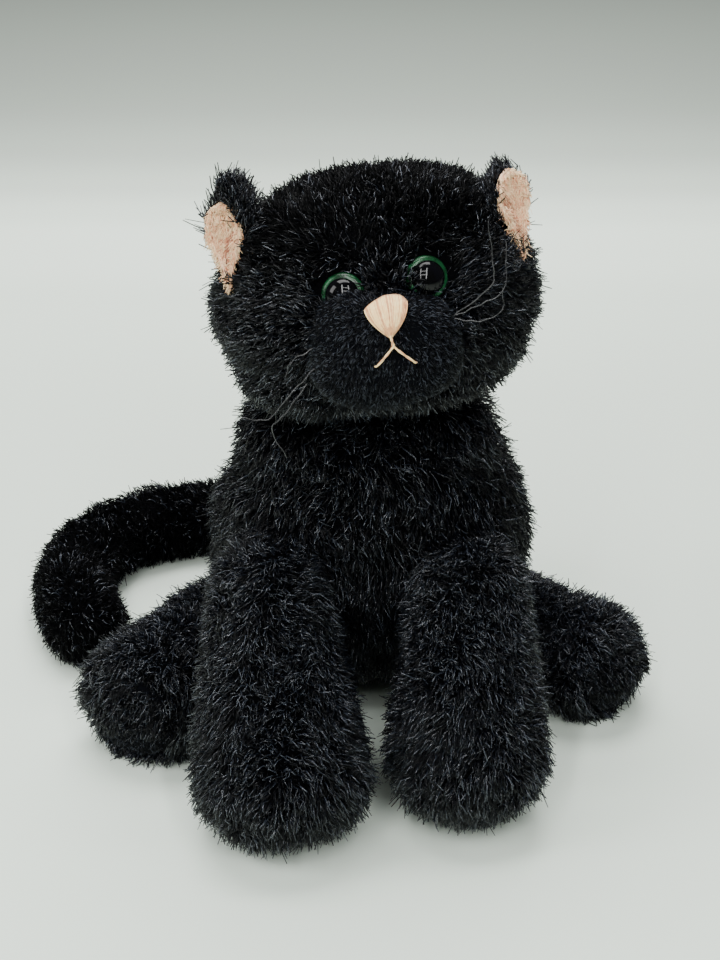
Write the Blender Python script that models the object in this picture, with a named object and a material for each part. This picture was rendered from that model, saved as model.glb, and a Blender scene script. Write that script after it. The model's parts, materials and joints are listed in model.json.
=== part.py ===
"""A sitting plush cat, about 150 mm tall, as the pieces it is sewn and filled from.

Every fur cover is an open shell of plush fabric with its filling inside. The head, ears, legs and tail meet the
body at sewn seams that flex. Each has an empty at its seam that it turns about, and a round end that sits in a
round hollow, so that it can turn. Units are metres, +Z is up, the cat faces -Y, and the origin is the middle of
the flat seat under the torso. Left and right are the cat's own, so its left side is +X.
"""

import math

import bmesh
import bpy
from mathutils import Euler, Matrix, Vector

MM = 0.001

# Fabric, fillings and the gaps between pieces
WALL = 1.2 * MM  # plush fabric with the dense root of its pile
GAP = 0.4 * MM  # between a cover and the filling inside it
SOCKET_GAP = 0.8 * MM  # between a round end and the hollow that it turns in
LIMB_GAP = 3.2 * MM  # the same for a leg, which widens just below its round end
THREAD = 0.35 * MM  # radius of the embroidery thread
STITCH_GAP = 0.3 * MM  # between a stitch or a whisker's root and the muzzle
FILL_GAP_SHARE = 0.06  # of a tube's section left between its fibre filling and its pellets
LIMB_SIDES, BODY_SIDES = 16, 24  # corners round a limb and round the torso or head
LIMB_OPENING = 50  # degrees of a limb's round end left on before its sewn mouth

# Tubes are lists of cross-sections: middle x, y, z, half width, half depth, in mm
TORSO = [
    (1.5, -37, 83, 26, 20),
    (1.5, -37, 72, 33, 25),
    (1, -33, 58, 37.5, 28.5),
    (0.5, -20, 40, 38.5, 30),
    (0, 3, 24, 36, 30),
]
TORSO_CAPS = (6, 25)  # lengths of the neck's and the rump's round ends, mm
TORSO_OPENING = 50  # degrees of the neck's round end left on before its mouth
PELLETS_FROM = 3  # the section of the torso below which it holds pellets

FRONT_LEGS = {
    "left": [
        (23, -61, 53, 12.5, 12.5),
        (24, -67.5, 40, 14, 14),
        (24, -73, 27, 16.5, 15.5),
        (23.5, -77, 15, 17.5, 16),
    ],
    "right": [
        (-23, -62, 53, 12.5, 12.5),
        (-22.5, -69.5, 40, 14.5, 14.5),
        (-21, -79, 27, 17.5, 16),
        (-19.5, -86.5, 15, 19, 16.5),
    ],
}
FRONT_LEG_CAPS = (12.5, 12)

HIND_LEGS = {
    "left": [
        (39, -8, 14, 10.5, 10.5),
        (49, -20, 13.5, 12, 12),
        (59, -31, 13, 13.5, 13.5),
    ],
    "right": [
        (-39, -12, 14, 11, 11),
        (-47.5, -32, 14.5, 13, 13),
        (-55, -50, 14.5, 16, 16),
    ],
}
HIND_LEG_CAPS = (10.5, 11)
SOLE_ANGLE = 42  # degrees of a foot's round end at which its sole pad begins
SOLE_SEAM = 3  # degrees between the cover and the sole pad

TAIL_RADIUS = 9.8
TAIL_PATH = [
    (-5, 30, 14),
    (-24, 48, 11),
    (-50, 55, 10),
    (-75, 43, 9.8),
    (-84, 17, 9.8),
    (-76, -8, 9.8),
]
TAIL_JOINTS = (0, 4, 8)  # where the tail bends, counted along the path after it is made smooth
TAIL_NAMES = ("base", "middle", "tip")

# Head, in its own frame: the origin is the middle of the neck, and the face looks along -Y
NECK = Vector((4.5, -38, 90)) * MM
NECK_BALL = 8.5 * MM
NECK_SEAM_RADIUS, NECK_SEAM_WIDTH = 10.6 * MM, 0.6 * MM
HEAD_TURN, HEAD_NOD, HEAD_TILT = 5, -9, -7  # degrees that the head is sewn on at
HEAD_MIDDLE = (0.5, -6, 29)
HEAD = [(-13, 32.5, 27), (-4, 36, 30.5), (5, 35, 29.5), (14, 30, 26)]  # height, half width, half depth
HEAD_CAPS = (13, 12)
HEAD_OPENING = 50

# Safety eyes. Each is set by hand, so the two aren't quite even: x and z in the head's frame
EYE_PLACES = {"left": (10.8 * MM, 36.4 * MM), "right": (-7.6 * MM, 35.6 * MM)}
EYE_OUTWARD = (0.26, -0.94, 0.2)  # the way the left eye faces
EYE_RADIUS, EYE_THICKNESS, EYE_BEVEL = 4.75 * MM, 1.4 * MM, 0.5 * MM
EYE_STAND_OFF = 0.9 * MM  # between the cover and the back of the green disc
EYE_CLEARANCE = 0.4 * MM  # between the disc and the muzzle's edge
PUPIL_RADIUS, PUPIL_RISE, PUPIL_GAP = 3.7 * MM, 2.2 * MM, 0.3 * MM
POST_RADIUS, POST_LENGTH = 1.5 * MM, 9 * MM
POST_ROOT = 0.7 * MM  # how far the post runs into the disc, short of its front
POST_CLEARANCE, POST_HOLE_DEPTH = 0.35 * MM, 12 * MM
WASHER_RADIUS, WASHER_THICKNESS = 4.5 * MM, 1.0 * MM
WASHER_DEPTH, WASHER_CLEARANCE = 3.2 * MM, 0.6 * MM  # behind the cover, and to the filling

MUZZLE_MIDDLE = Vector((0, -32, 22)) * MM
MUZZLE_SIZE = Vector((16.5, 10, 12)) * MM  # half extents
NOSE_OFFSET, NOSE_HEIGHT, NOSE_HALF_WIDTH, NOSE_HALF_HEIGHT = 0.9 * MM, 30.9 * MM, 4.8 * MM, 4.3 * MM
NOSE_STEPS = [(5.0, 1.0), (-0.4, 1.0), (-1.3, 0.86), (-1.8, 0.55)]  # depth in mm and scale, back to front
NOSE_TAPER, NOSE_LEAN = 0.34, 0.42  # narrower at the foot, and lying back with the muzzle's top
NOSE_SEAT = 0.35 * MM  # between the muzzle's cover and the nose
MOUTH_HEIGHT = 25.1 * MM
MOUTH_STITCHES = {  # from and to, sideways from the middle and up from the fork, in mm
    "mouth_stem_stitch": ((0, 1.4), (0, 0.5)),
    "mouth_left_stitch": ((0.8, -0.4), (4.7, -4.2)),
    "mouth_right_stitch": ((-0.8, -0.4), (-4.2, -4.0)),
}

EAR_BASE = Vector((34.8, -16.5, 40)) * MM
EAR_TIP_BACK, EAR_LEAN, EAR_TURN = 15, 3, 32  # degrees: the tip leans back and out, the hollow faces out
EAR_WIDTH, EAR_HEIGHT, EAR_CUP = 5.6 * MM, 16 * MM, 2.2 * MM
EAR_BACK_THICKNESS, EAR_LINING_THICKNESS, EAR_GAP = 1.5 * MM, 1.0 * MM, 0.3 * MM
EAR_ROWS, EAR_COLUMNS = 6, 8

WHISKER_RADIUS = 0.15 * MM
WHISKER_RISE = 5 * MM  # of the left roots above the muzzle's middle, and of the right ones below it
WHISKERS = {  # the left ones' routes out, forward and up from the root, in mm. The right ones turn down
    "upper": [(0.6, 0, 0), (6, 1, 5), (10, 2, 8), (10.5, 3, 14), (9.5, 5, 24)],
    "middle": [(0.9, 0.5, -1.4), (8, 2, 1), (13, 3.5, 8), (15, 5, 18)],
    "lower": [(0.9, 0.5, -3), (7, 1.5, -3), (12, 3, -0.5), (13.5, 4, 4)],
}

COLOURS = {
    "black_plush": ((0.008, 0.008, 0.011), 0.9),
    "short_plush": ((0.005, 0.006, 0.010), 0.85),
    "pink_plush": ((0.75, 0.44, 0.33), 0.9),
    "fibre_fill": ((0.85, 0.85, 0.83), 0.95),
    "pellet_fill": ((0.70, 0.68, 0.62), 0.6),
    "eye_green": ((0.01, 0.16, 0.05), 0.15),
    "eye_black": ((0.004, 0.004, 0.005), 0.08),
    "washer_plastic": ((0.8, 0.8, 0.78), 0.4),
    "nose_thread": ((0.80, 0.50, 0.38), 0.6),
    "whisker_nylon": ((0.02, 0.02, 0.022), 0.35),
    "seam_thread": ((0.01, 0.01, 0.012), 0.8),
}


def clear_scene():
    for thing in list(bpy.data.objects):
        bpy.data.objects.remove(thing, do_unlink=True)


def material(name):
    """The named Principled material, made the first time it is asked for."""
    if name in bpy.data.materials:
        return bpy.data.materials[name]
    colour, roughness = COLOURS[name]
    made = bpy.data.materials.new(name)
    made.use_nodes = True
    shader = made.node_tree.nodes["Principled BSDF"]
    shader.inputs["Base Color"].default_value = (*colour, 1)
    shader.inputs["Roughness"].default_value = roughness
    return made


def add(name, bm, material_name, parent=None):
    """Ends bm as a named object whose mesh is in its parent's frame."""
    bmesh.ops.recalc_face_normals(bm, faces=bm.faces)
    mesh = bpy.data.meshes.new(name)
    bm.to_mesh(mesh)
    bm.free()
    mesh.shade_smooth()
    piece = bpy.data.objects.new(name, mesh)
    bpy.context.scene.collection.objects.link(piece)
    piece.parent = parent
    if material_name:
        mesh.materials.append(material(material_name))
    return piece


def pivot(name, place, turn=(0, 0, 0), parent=None):
    """An empty on a joint's axis."""
    empty = bpy.data.objects.new(name, None)
    empty.location = place
    empty.rotation_euler = Euler([math.radians(a) for a in turn])
    empty.empty_display_size = 5 * MM
    empty.parent = parent
    bpy.context.scene.collection.objects.link(empty)
    return empty


def hide_cutter(cutter):
    cutter.hide_render = True
    cutter.display_type = "WIRE"
    return cutter


def cut(piece, *cutters):
    for cutter in cutters:
        boolean = piece.modifiers.new("cut_" + cutter.name, "BOOLEAN")
        boolean.operation = "DIFFERENCE"
        boolean.solver = "EXACT"
        boolean.object = cutter


# Tubes ------------------------------------------------------------------------------------------------------------


class Tube:
    """A stuffed tube: its cross-sections, and how round its two ends are. Places are kept relative to origin."""

    def __init__(self, sections, caps, origin, side=(1, 0, 0), sides=LIMB_SIDES, cap_steps=3):
        self.middles = [Vector(s[:3]) * MM - origin for s in sections]
        self.radii = [(s[3] * MM, s[4] * MM) for s in sections]
        self.caps = [cap * MM for cap in caps]
        self.floor = -origin.z
        self.side = Vector(side)
        self.sides = sides
        self.cap_steps = cap_steps

    def along(self, i):
        last = len(self.middles) - 1
        return (self.middles[min(i + 1, last)] - self.middles[max(i - 1, 0)]).normalized()

    def ring(self, middle, along, half_width, half_depth, inset):
        """Points round one cross-section, none lower than the floor."""
        across = (self.side - along * self.side.dot(along)).normalized()
        other = along.cross(across)
        points = []
        for k in range(self.sides):
            angle = 2 * math.pi * k / self.sides
            point = middle + across * half_width * math.cos(angle) + other * half_depth * math.sin(angle)
            point.z = max(point.z, self.floor + inset)
            points.append(point)
        return points

    def section(self, i, inset):
        width, depth = self.radii[i]
        return self.ring(self.middles[i], self.along(i), width - inset, depth - inset, inset)

    def dome(self, i, sign, cap, start, limit, inset):
        """Rings over a round end, from start to limit degrees. At 90 degrees the last one is its pole."""
        along = self.along(i) * sign
        width, depth = self.radii[i]
        rings = []
        for k in range(1 if start == 0 else 0, self.cap_steps + 1):
            angle = math.radians(start + (limit - start) * k / self.cap_steps)
            middle = self.middles[i] + along * (cap - inset) * math.sin(angle)
            if limit == 90 and k == self.cap_steps:
                middle.z = max(middle.z, self.floor + inset)
                rings.append([middle])
                continue
            shrink = math.cos(angle)
            half_width, half_depth = (width - inset) * shrink, (depth - inset) * shrink
            rings.append(self.ring(middle, self.along(i), half_width, half_depth, inset))
        return rings

    def cup(self, i, radius, inset, closed):
        """Rings of a hollow end that fits round a ball of this radius at section i, deepest first."""
        width = self.radii[i][0] - inset
        rim = math.asin(width / radius)
        steps = self.cap_steps if closed else 0
        rings = []
        for k in range(steps + 1):
            angle = rim if steps == 0 else rim * k / steps
            middle = self.middles[i] + self.along(i) * radius * math.cos(angle)
            if closed and k == 0:
                rings.append([middle])
            else:
                reach = radius * math.sin(angle)
                rings.append(self.ring(middle, self.along(i), reach, reach, inset))
        return rings

    def rings(self, inset, start=90, end=90, first=0, last=None, ball=0, closed=True):
        """All rings from one end to the other. start and end are the degrees of round end that are left on, and
        0 is none. A tube with ball has a hollow first end that fits round a ball of that radius."""
        last = len(self.middles) - 1 if last is None else last
        rings = []
        if ball:
            rings += self.cup(first, ball, inset, closed)
        elif start:
            rings += reversed(self.dome(first, -1, self.caps[0], 0, start, inset))
        rings += [self.section(i, inset) for i in range(first + (1 if ball else 0), last + 1)]
        if end:
            rings += self.dome(last, 1, self.caps[1], 0, end, inset)
        return rings


def strip(bm, loops):
    """Faces between each loop of corners and the next. A loop of one corner is a pole."""
    for lower, upper in zip(loops, loops[1:]):
        count = max(len(lower), len(upper))
        for k in range(count):
            after = (k + 1) % count
            corners = [lower[k % len(lower)], lower[after % len(lower)]]
            corners += [upper[after % len(upper)], upper[k % len(upper)]]
            bm.faces.new(list(dict.fromkeys(corners)))


def corners_of(bm, rings):
    return [[bm.verts.new(point) for point in ring] for ring in rings]


def solid_tube(rings):
    """A filled tube. An end that isn't a pole is closed flat."""
    bm = bmesh.new()
    loops = corners_of(bm, rings)
    strip(bm, loops)
    for loop in (loops[0], loops[-1]):
        if len(loop) > 1:
            bm.faces.new(loop)
    return bm


def shell_tube(outer, inner):
    """A wall between two tubes of rings, open at each end that isn't a pole."""
    bm = bmesh.new()
    outside, inside = corners_of(bm, outer), corners_of(bm, inner)
    strip(bm, outside)
    strip(bm, inside)
    for end in (0, -1):
        if len(outside[end]) > 1:
            strip(bm, [outside[end], inside[end]])
    return bm


def fill_tube(tube, split):
    """Rings of the fibre filling down to section split, and of the pellets beyond it."""
    stuffing = tube.rings(WALL + GAP, end=0, last=split)
    tube.middles[split] = tube.middles[split].lerp(tube.middles[split + 1], FILL_GAP_SHARE)
    return stuffing, tube.rings(WALL + GAP, start=0, first=split)


def ellipsoid(middle, size, segments=BODY_SIDES, rings=14):
    bm = bmesh.new()
    bmesh.ops.create_uvsphere(bm, u_segments=segments, v_segments=rings, radius=1)
    bmesh.ops.transform(bm, matrix=Matrix.Translation(middle) @ Matrix.Diagonal((*size, 1)), verts=bm.verts)
    return bm


def cylinder(start, end, radius, sides=20):
    """A round bar from start to end."""
    bm = bmesh.new()
    along = end - start
    turn = along.to_track_quat("Z", "Y").to_matrix().to_4x4()
    size = {"radius1": radius, "radius2": radius, "depth": along.length}
    bmesh.ops.create_cone(bm, cap_ends=True, segments=sides, **size)
    bmesh.ops.transform(bm, matrix=Matrix.Translation((start + end) / 2) @ turn, verts=bm.verts)
    return bm


def ball_cutter(name, radius, parent):
    return hide_cutter(add(name, ellipsoid(Vector(), Vector((radius,) * 3), 20, 12), None, parent))


# Torso ------------------------------------------------------------------------------------------------------------


def make_torso(sockets):
    """The cover, the fibre filling of the chest and the bag of pellets that weighs down the seat."""
    tube = Tube(TORSO, TORSO_CAPS, Vector(), sides=BODY_SIDES, cap_steps=4)
    outer = tube.rings(0, start=TORSO_OPENING)
    inner = tube.rings(WALL, start=TORSO_OPENING)
    cover = add("torso_cover", shell_tube(outer, inner), "black_plush")
    chest, seat = fill_tube(tube, PELLETS_FROM)
    stuffing = add("torso_stuffing", solid_tube(chest), "fibre_fill")
    pellets = add("seat_pellet_bag", solid_tube(seat), "pellet_fill")
    for piece in (cover, stuffing, pellets):
        cut(piece, *sockets)


# Legs -------------------------------------------------------------------------------------------------------------


def make_front_leg(side):
    sections = FRONT_LEGS[side]
    shoulder = pivot(f"{side}_shoulder", Vector(sections[0][:3]) * MM)
    tube = Tube(sections, FRONT_LEG_CAPS, shoulder.location)
    outer = tube.rings(0, start=LIMB_OPENING)
    inner = tube.rings(WALL, start=LIMB_OPENING)
    add(f"{side}_front_leg_cover", shell_tube(outer, inner), "black_plush", shoulder)
    stuffing, pellets = fill_tube(tube, 2)
    add(f"{side}_front_leg_stuffing", solid_tube(stuffing), "fibre_fill", shoulder)
    add(f"{side}_front_paw_pellet_bag", solid_tube(pellets), "pellet_fill", shoulder)
    return ball_cutter(f"{side}_shoulder_socket", sections[0][3] * MM + LIMB_GAP, shoulder)


def make_hind_leg(side):
    sections = HIND_LEGS[side]
    hip = pivot(f"{side}_hip", Vector(sections[0][:3]) * MM)
    tube = Tube(sections, HIND_LEG_CAPS, hip.location, side=(0, 0, 1))
    outer = tube.rings(0, start=LIMB_OPENING, end=SOLE_ANGLE)
    inner = tube.rings(WALL, start=LIMB_OPENING, end=SOLE_ANGLE)
    add(f"{side}_hind_leg_cover", shell_tube(outer, inner), "black_plush", hip)
    last = len(sections) - 1
    edge = SOLE_ANGLE + SOLE_SEAM
    sole = [tube.dome(last, 1, tube.caps[1], edge, 90, inset) for inset in (0, WALL)]
    add(f"{side}_hind_sole_pad", shell_tube(*sole), "short_plush", hip)
    stuffing, pellets = fill_tube(tube, 1)
    add(f"{side}_hind_leg_stuffing", solid_tube(stuffing), "fibre_fill", hip)
    add(f"{side}_hind_foot_pellet_bag", solid_tube(pellets), "pellet_fill", hip)
    return ball_cutter(f"{side}_hip_socket", sections[0][3] * MM + LIMB_GAP, hip)


# Tail -------------------------------------------------------------------------------------------------------------


def smooth(path):
    """The path with a point added halfway along each stretch, on a smooth curve through the others."""
    points = [Vector(point) for point in path]
    padded = [points[0] * 2 - points[1], *points, points[-1] * 2 - points[-2]]
    made = []
    for before, start, end, after in zip(padded, padded[1:], padded[2:], padded[3:]):
        made += [start, (9 * (start + end) - before - after) / 16]
    return [*made, points[-1]]


def make_tail():
    """Three lengths of tail, each with a round end that turns in the hollow end of the next."""
    path = smooth(TAIL_PATH)
    ends = [*TAIL_JOINTS[1:], len(path) - 1]
    parent, parent_place = None, Vector()
    for name, first, last in zip(TAIL_NAMES, TAIL_JOINTS, ends):
        place = path[first] * MM
        joint = pivot(f"tail_{name}_bend", place - parent_place, parent=parent)
        sections = [(*point, TAIL_RADIUS, TAIL_RADIUS) for point in path[first : last + 1]]
        tube = Tube(sections, (TAIL_RADIUS, TAIL_RADIUS), place, side=(0, 0, 1), sides=14)
        ball = TAIL_RADIUS * MM + SOCKET_GAP if first else 0
        outer = tube.rings(0, start=LIMB_OPENING, ball=ball, closed=False)
        inner = tube.rings(WALL, start=LIMB_OPENING, ball=ball, closed=False)
        add(f"tail_{name}_cover", shell_tube(outer, inner), "black_plush", joint)
        filling = tube.rings(WALL + GAP, ball=ball)
        add(f"tail_{name}_stuffing", solid_tube(filling), "fibre_fill", joint)
        parent, parent_place = joint, place
    return ball_cutter("tail_socket", TAIL_RADIUS * MM + SOCKET_GAP, bpy.data.objects["tail_base_bend"])


# Neck and head ----------------------------------------------------------------------------------------------------


def head_tube(grow=0.0):
    """The head's ball in the head's own frame, grown all round by grow metres."""
    x, y, z = HEAD_MIDDLE
    extra = grow / MM
    sections = [(x, y, z + height, width + extra, depth + extra) for height, width, depth in HEAD]
    caps = [cap + extra for cap in HEAD_CAPS]
    tube = Tube(sections, caps, Vector(), sides=BODY_SIDES, cap_steps=4)
    tube.floor = -1.0  # the head doesn't reach what the cat sits on
    return tube


def face_surface(x, z):
    """Where the head's cover is at this x and z on its face, in the head's frame."""
    for (low, w0, d0), (high, w1, d1) in zip(HEAD, HEAD[1:]):
        level = z / MM - HEAD_MIDDLE[2]
        if low <= level <= high:
            t = (level - low) / (high - low)
            width, depth = (w0 + (w1 - w0) * t) * MM, (d0 + (d1 - d0) * t) * MM
            return HEAD_MIDDLE[1] * MM - depth * math.sqrt(1 - (x / width) ** 2)
    raise ValueError("this height is outside the middle of the head")


def make_neck(head):
    """The plug of filling that joins the head's to the torso's, and the thread of the seam round it."""
    plug = ellipsoid(Vector(), Vector((NECK_BALL,) * 3), 16, 10)
    add("neck_stuffing", plug, "fibre_fill", head)
    ring = bmesh.new()
    sides = 6
    bmesh.ops.create_circle(
        ring, segments=sides, radius=NECK_SEAM_WIDTH, matrix=Matrix.Rotation(math.pi / 2, 4, "X")
    )
    bmesh.ops.translate(ring, verts=ring.verts, vec=(NECK_SEAM_RADIUS, 0, 0))
    bmesh.ops.spin(
        ring,
        geom=ring.edges[:],
        axis=(0, 0, 1),
        cent=(0, 0, 0),
        steps=BODY_SIDES,
        angle=2 * math.pi,
        use_duplicate=False,
        use_merge=True,
    )
    add("neck_seam_thread", ring, "seam_thread", head)


def make_head(head, socket):
    tube = head_tube()
    outer = tube.rings(0, start=HEAD_OPENING)
    inner = tube.rings(WALL, start=HEAD_OPENING)
    cover = add("head_cover", shell_tube(outer, inner), "black_plush", head)
    stuffing = add("head_stuffing", solid_tube(tube.rings(WALL + GAP)), "fibre_fill", head)
    cut(stuffing, socket)
    return cover, stuffing


def bar_cutter(name, start, end, radius, parent):
    return hide_cutter(add(name, cylinder(start, end, radius), None, parent))


def pupil_dome(front, outward):
    """Half an ellipsoid whose flat side is at front."""
    bm = bmesh.new()
    bmesh.ops.create_uvsphere(bm, u_segments=20, v_segments=12, radius=1)
    behind = [vert for vert in bm.verts if vert.co.z < -0.01]
    bmesh.ops.delete(bm, geom=behind, context="VERTS")
    bmesh.ops.contextual_create(bm, geom=[edge for edge in bm.edges if edge.is_boundary])
    size = Matrix.Diagonal((PUPIL_RADIUS, PUPIL_RADIUS, PUPIL_RISE, 1))
    turn = outward.to_track_quat("Z", "Y").to_matrix().to_4x4()
    bmesh.ops.transform(bm, matrix=Matrix.Translation(front) @ turn @ size, verts=bm.verts)
    return bm


def make_eye(side, sign, head, cover, stuffing):
    """A green disc with a post through the cover, a black pupil on it and the washer that locks it behind.

    It returns the cutter that keeps the muzzle clear of the disc.
    """
    x, z = EYE_PLACES[side]
    surface = Vector((x, face_surface(x, z), z))
    outward = Vector((sign * EYE_OUTWARD[0], *EYE_OUTWARD[1:])).normalized()
    back = surface + outward * EYE_STAND_OFF
    front = back + outward * EYE_THICKNESS
    disc = add(f"{side}_eye_disc", cylinder(back, front, EYE_RADIUS), "eye_green", head)
    bevel = disc.modifiers.new("rounded_rim", "BEVEL")
    bevel.width = EYE_BEVEL
    bevel.segments = 2
    root = front - outward * POST_ROOT
    post = bar_cutter(f"{side}_post_body", back - outward * POST_LENGTH, root, POST_RADIUS, head)
    joined = disc.modifiers.new("with_post", "BOOLEAN")
    joined.operation = "UNION"
    joined.object = post
    add(f"{side}_eye_pupil", pupil_dome(front + outward * PUPIL_GAP, outward), "eye_black", head)
    face = surface - outward * WASHER_DEPTH
    far = face - outward * WASHER_THICKNESS
    washer = add(f"{side}_eye_washer", cylinder(far, face, WASHER_RADIUS), "washer_plastic", head)
    hole_end = back - outward * POST_HOLE_DEPTH
    hole = bar_cutter(f"{side}_post_room", hole_end, front, POST_RADIUS + POST_CLEARANCE, head)
    pocket_end = far - outward * WASHER_CLEARANCE
    pocket_radius = WASHER_RADIUS + WASHER_CLEARANCE
    pocket = bar_cutter(f"{side}_washer_room", pocket_end, surface + outward * MM, pocket_radius, head)
    cut(cover, hole)
    cut(washer, hole)
    cut(stuffing, hole, pocket)
    behind, ahead = back - outward * 3 * MM, front + outward * 6 * MM
    return bar_cutter(f"{side}_eye_room", behind, ahead, EYE_RADIUS + EYE_CLEARANCE, head)


def muzzle_ball(grow, segments=BODY_SIDES, rings=14):
    """The muzzle's ellipsoid, grown all round by grow metres."""
    return ellipsoid(MUZZLE_MIDDLE, MUZZLE_SIZE + Vector((grow,) * 3), segments, rings)


def make_muzzle(head, eye_rooms):
    """The short-pile muzzle, its filling, and the embroidered nose and mouth."""
    face = solid_tube(head_tube(GAP).rings(0, start=HEAD_OPENING))
    face = hide_cutter(add("face_room", face, None, head))
    hollow = hide_cutter(add("muzzle_room", muzzle_ball(-WALL), None, head))
    cover = add("muzzle_cover", muzzle_ball(0), "short_plush", head)
    cut(cover, face, hollow, *eye_rooms)
    stuffing = add("muzzle_stuffing", muzzle_ball(-WALL - GAP, 20, 12), "fibre_fill", head)
    cut(stuffing, face, *eye_rooms)
    under = hide_cutter(add("nose_room", muzzle_ball(NOSE_SEAT, 32, 20), None, head))
    nose = add("nose_pad", nose_block(), "nose_thread", head)
    cut(nose, under, face)
    make_mouth(head)


def muzzle_surface(x, z, above):
    """The point on the muzzle, or this far above it, at this x and z."""
    size = MUZZLE_SIZE + Vector((above,) * 3)
    left = 1 - (x / size.x) ** 2 - ((z - MUZZLE_MIDDLE.z) / size.z) ** 2
    return Vector((x, MUZZLE_MIDDLE.y - size.y * math.sqrt(left), z))


def nose_block():
    """A rounded triangle, wide at the top, deep enough to be cut to the muzzle behind it."""
    bm = bmesh.new()
    middle = muzzle_surface(NOSE_OFFSET, NOSE_HEIGHT, 0)
    sides = 18
    rings = []
    for depth, scale in NOSE_STEPS:
        ring = []
        for k in range(sides):
            angle = 2 * math.pi * k / sides
            taper = 1 - NOSE_TAPER * max(0.0, -math.sin(angle)) ** 1.3
            x = NOSE_HALF_WIDTH * math.cos(angle) * taper * scale
            z = NOSE_HALF_HEIGHT * math.sin(angle) * scale
            ring.append(middle + Vector((x, depth * MM + NOSE_LEAN * z, z)))
        rings.append(ring)
    loops = corners_of(bm, rings)
    strip(bm, loops)
    bm.faces.new(loops[0])
    bm.faces.new(loops[-1])
    return bm


def make_thread(name, points, radius, material_name, parent, resolution=1):
    curve = bpy.data.curves.new(name, "CURVE")
    curve.dimensions = "3D"
    curve.bevel_depth = radius
    curve.bevel_resolution = resolution
    curve.use_fill_caps = True
    spline = curve.splines.new("POLY")
    spline.points.add(len(points) - 1)
    for spot, point in zip(spline.points, points):
        spot.co = (*point, 1)
    piece = bpy.data.objects.new(name, curve)
    piece.parent = parent
    bpy.context.scene.collection.objects.link(piece)
    curve.materials.append(material(material_name))
    return piece


def make_mouth(head):
    """Three straight stitches: down from the nose, then out to each side."""
    steps = 4
    for name, ends in MOUTH_STITCHES.items():
        start, end = (Vector(place) * MM for place in ends)
        points = []
        for k in range(steps + 1):
            across, up = start.lerp(end, k / steps)
            points.append(muzzle_surface(NOSE_OFFSET + across, MOUTH_HEIGHT + up, THREAD + STITCH_GAP))
        make_thread(name, points, THREAD, "nose_thread", head)


def make_whiskers(head):
    """Crimped nylon filaments that stand out from the cheeks."""
    for side, sign in (("left", 1), ("right", -1)):
        out = MUZZLE_SIZE.x + STITCH_GAP
        root = MUZZLE_MIDDLE + Vector((sign * out, -2 * MM, sign * WHISKER_RISE))
        for name, route in WHISKERS.items():
            points = [root + Vector((sign * x, -y, sign * z)) * MM for x, y, z in route]
            make_thread(f"{side}_{name}_whisker", points, WHISKER_RADIUS, "whisker_nylon", head, 0)


# Ears -------------------------------------------------------------------------------------------------------------


def ear_grid(bm, depth):
    """Corners over a cupped leaf, rounded at its tip, this far behind the ear's middle."""
    grid = []
    for i in range(EAR_ROWS + 1):
        up = i / EAR_ROWS
        tip = math.sqrt(max(0.0, 1 - up**2.4)) * 0.9 + 0.1
        belly = 0.86 + 0.14 * math.sin(math.pi * up)
        hollow = 0.4 + 0.6 * math.sin(math.pi * min(1, up + 0.2))
        row = []
        for j in range(EAR_COLUMNS + 1):
            across = 2 * j / EAR_COLUMNS - 1
            cup = EAR_CUP * (1 - across**2) * hollow
            row.append(bm.verts.new((EAR_WIDTH * tip * belly * across, cup + depth, EAR_HEIGHT * up)))
        grid.append(row)
    return grid


def ear_rim(grid):
    """The corners round the edge of a leaf."""
    left = [row[0] for row in grid]
    right = [row[-1] for row in reversed(grid)]
    return left + grid[-1][1:-1] + right + grid[0][-2:0:-1]


def ear_leaf(front, thickness):
    """A leaf of this thickness. front is how far its hollow face lies in front of the ear's middle."""
    bm = bmesh.new()
    grids = [ear_grid(bm, -front), ear_grid(bm, thickness - front)]
    for grid in grids:
        for lower, upper in zip(grid, grid[1:]):
            for j in range(EAR_COLUMNS):
                bm.faces.new((lower[j], lower[j + 1], upper[j + 1], upper[j]))
    strip(bm, [ear_rim(grid) for grid in grids])
    return bm


def make_ear(side, sign, head):
    place = Vector((sign * EAR_BASE.x, EAR_BASE.y, EAR_BASE.z))
    turn = (-EAR_TIP_BACK, sign * EAR_LEAN, sign * EAR_TURN)
    root = pivot(f"{side}_ear_root", place, turn, head)
    lining = ear_leaf(EAR_LINING_THICKNESS + EAR_GAP, EAR_LINING_THICKNESS)
    add(f"{side}_ear_lining", lining, "pink_plush", root)
    add(f"{side}_ear_back", ear_leaf(0, EAR_BACK_THICKNESS), "black_plush", root)


def main():
    clear_scene()
    sockets = [make_front_leg(side) for side in FRONT_LEGS]
    sockets += [make_hind_leg(side) for side in HIND_LEGS]
    sockets.append(make_tail())
    neck = pivot("neck", NECK)
    head = pivot("head_seat", Vector(), (HEAD_NOD, HEAD_TILT, HEAD_TURN), neck)
    neck_socket = ball_cutter("neck_socket", NECK_BALL + SOCKET_GAP, neck)
    make_torso([*sockets, neck_socket])
    make_neck(neck)
    cover, stuffing = make_head(head, neck_socket)
    signs = {"left": 1, "right": -1}
    eye_rooms = [make_eye(side, sign, head, cover, stuffing) for side, sign in signs.items()]
    make_muzzle(head, eye_rooms)
    make_whiskers(head)
    for side, sign in signs.items():
        make_ear(side, sign, head)


main()
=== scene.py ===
"""The looks of a sitting black plush cat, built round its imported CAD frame.

Each fur-covered piece is a skin, smoothed from its CAD solids, with its pile as real strands on it. The face,
ears, soles and whiskers are built in mesh code. All places are in metres, in the frame of the CAD.
"""

import json
import math

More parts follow.
